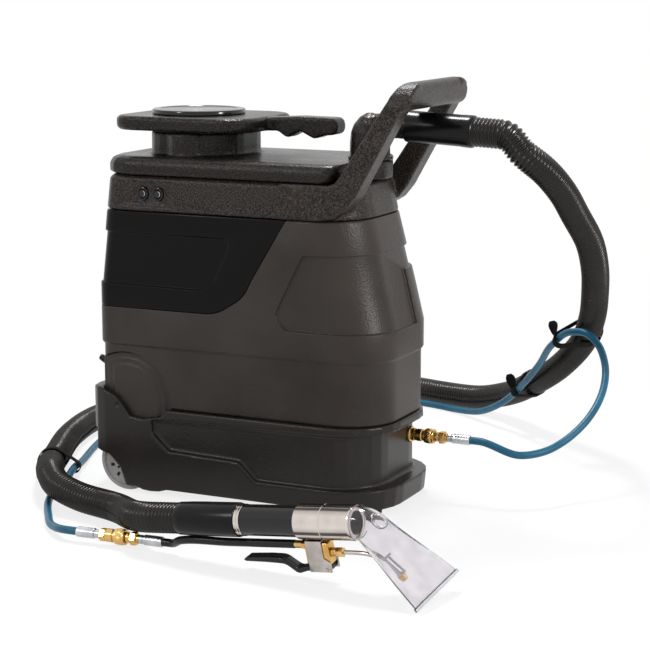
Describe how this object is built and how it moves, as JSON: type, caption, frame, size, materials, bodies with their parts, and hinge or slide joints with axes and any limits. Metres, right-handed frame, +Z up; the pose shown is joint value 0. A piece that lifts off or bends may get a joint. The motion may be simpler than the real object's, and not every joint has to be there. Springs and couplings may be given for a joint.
{
  "type": "spot extractor",
  "caption": "Portable carpet and upholstery extractor with stacked tanks, a tilted carry handle, wheels, a ribbed vacuum hose, a solution hose and a hand tool with a clear head.",
  "frame": {"origin": "on the floor, under the middle of the machine and its hand tool together, hoses left out", "axes": "+X from the wheels towards the hose end, +Y away from the hand tool, +Z up"},
  "size_m": [0.9759, 1.1917, 0.6616],
  "materials": {
    "moulded_black": "moulded black-brown polyethylene with a fine grain",
    "gloss_black": "polished black plastic",
    "rubber_black": "black rubber and vinyl, satin",
    "brass": "turned brass",
    "zinc_plated_steel": "zinc-plated pressed and turned steel",
    "chromed_steel": "chromed tube",
    "blue_rubber": "blue solution hose",
    "motor_steel": "bare motor steel",
    "clear_plastic": "clear moulded plastic",
    "pale_plastic": "pale moulded plastic"
  },
  "bodies": {
    "machine": {"air_duct": "rubber_black", "axle": "zinc_plated_steel", "base_housing": "moulded_black", "base_plate": "moulded_black", "cord_gland": "rubber_black", "delivery_hose": "rubber_black", "foot_far": "rubber_black", "foot_near": "rubber_black", "front_panel": "gloss_black", "grip_sleeve": "gloss_black", "handle_frame": "moulded_black", "hose_strap_1": "rubber_black", "hose_strap_2": "rubber_black", "hose_strap_3": "rubber_black", "jet_pipe": "brass", "lever_pin": "zinc_plated_steel", "machine_coupler_plug": "brass", "machine_coupler_socket": "brass", "machine_hose_ferrule": "zinc_plated_steel", "motor_hood": "moulded_black", "nozzle_head": "clear_plastic", "pickup_hose": "rubber_black", "pump_body": "moulded_black", "pump_motor": "motor_steel", "solution_hose": "blue_rubber", "solution_hose_ferrule": "zinc_plated_steel", "solution_tank": "moulded_black", "spray_jet": "brass", "strainer": "brass", "switch_bezel_1": "gloss_black", "switch_bezel_2": "gloss_black", "tool_coupler_plug": "brass", "tool_coupler_socket": "brass", "tool_cuff": "rubber_black", "tool_hose": "rubber_black", "tool_hose_ferrule": "zinc_plated_steel", "tube_band": "zinc_plated_steel", "vacuum_cuff": "rubber_black", "vacuum_hose": "rubber_black", "vacuum_motor": "motor_steel", "valve_body": "brass", "valve_saddle": "zinc_plated_steel", "wand_tube": "chromed_steel"},
    "recovery_tank": {"recovery_tank": "moulded_black", "inlet_elbow": "gloss_black", "standpipe": "pale_plastic"},
    "lid": {"tank_lid": "moulded_black", "lid_gasket": "rubber_black"},
    "cap": {"lid_cap": "gloss_black"},
    "float": {"float_ring": "pale_plastic"},
    "wheel_near": {"wheel_near": "pale_plastic"},
    "wheel_far": {"wheel_far": "pale_plastic"},
    "rocker_1": {"switch_rocker_1": "gloss_black"},
    "rocker_2": {"switch_rocker_2": "gloss_black"},
    "lever": {"trigger_lever": "gloss_black"},
    "plunger": {"valve_plunger": "zinc_plated_steel"},
    "machine_sleeve": {"machine_coupler_sleeve": "brass"},
    "tool_sleeve": {"tool_coupler_sleeve": "brass"},
    "fan": {"vacuum_fan": "motor_steel"},
    "rotor": {"pump_rotor": "brass"}
  },
  "joints": [
    {"name": "recovery_tank_lift", "type": "slide", "parent": "machine", "child": "recovery_tank", "axis": [0, 0, 1], "range_m": [0, 0.25]},
    {"name": "lid_lift", "type": "slide", "parent": "recovery_tank", "child": "lid", "axis": [0, 0, 1], "range_m": [0, 0.08]},
    {"name": "cap_turn", "type": "hinge", "parent": "lid", "child": "cap", "pos_m": [-0.22535, 0.17458, 0.59], "axis": [0, 0, 1], "range_deg": [0, 90]},
    {"name": "float_rise", "type": "slide", "parent": "recovery_tank", "child": "float", "axis": [0, 0, 1], "range_m": [0, 0.085]},
    {"name": "wheel_near_spin", "type": "hinge", "parent": "machine", "child": "wheel_near", "pos_m": [-0.30135, 0.17458, 0.047], "axis": [0, 1, 0], "continuous": true},
    {"name": "wheel_far_spin", "type": "hinge", "parent": "machine", "child": "wheel_far", "pos_m": [-0.30135, 0.17458, 0.047], "axis": [0, 1, 0], "continuous": true},
    {"name": "rocker_1_tilt", "type": "hinge", "parent": "machine", "child": "rocker_1", "pos_m": [-0.26335, 0.05796, 0.48], "axis": [1, 0, 0], "range_deg": [-8, 8]},
    {"name": "rocker_2_tilt", "type": "hinge", "parent": "machine", "child": "rocker_2", "pos_m": [-0.23635, 0.05796, 0.48], "axis": [1, 0, 0], "range_deg": [-8, 8]},
    {"name": "lever_pull", "type": "hinge", "parent": "machine", "child": "lever", "pos_m": [0.1963, -0.23382, 0.02355], "axis": [0.0744, 0.9847, 0.1578], "range_deg": [0, 4.6], "stiffness_Nm_per_rad": 1.2},
    {"name": "plunger_push", "type": "slide", "parent": "machine", "child": "plunger", "axis": [-0.1384, -0.1465, 0.9795], "range_m": [0, 0.00097]},
    {"name": "machine_sleeve_pull", "type": "slide", "parent": "machine", "child": "machine_sleeve", "axis": [-1, 0, 0], "range_m": [0, 0.004], "stiffness_N_per_m": 800},
    {"name": "tool_sleeve_pull", "type": "slide", "parent": "machine", "child": "tool_sleeve", "axis": [-0.999, -0.0436, 0], "range_m": [0, 0.004], "stiffness_N_per_m": 800},
    {"name": "vacuum_fan_spin", "type": "hinge", "parent": "machine", "child": "fan", "pos_m": [-0.27895, 0.17458, 0.145], "axis": [0, 1, 0], "continuous": true},
    {"name": "pump_rotor_spin", "type": "hinge", "parent": "machine", "child": "rotor", "pos_m": [-0.00435, 0.20458, 0.0428], "axis": [1, 0, 0], "continuous": true}
  ],
  "couplings": [
    {"joint": "plunger_push", "follows": "lever_pull", "m_per_rad": 0.012}
  ]
}
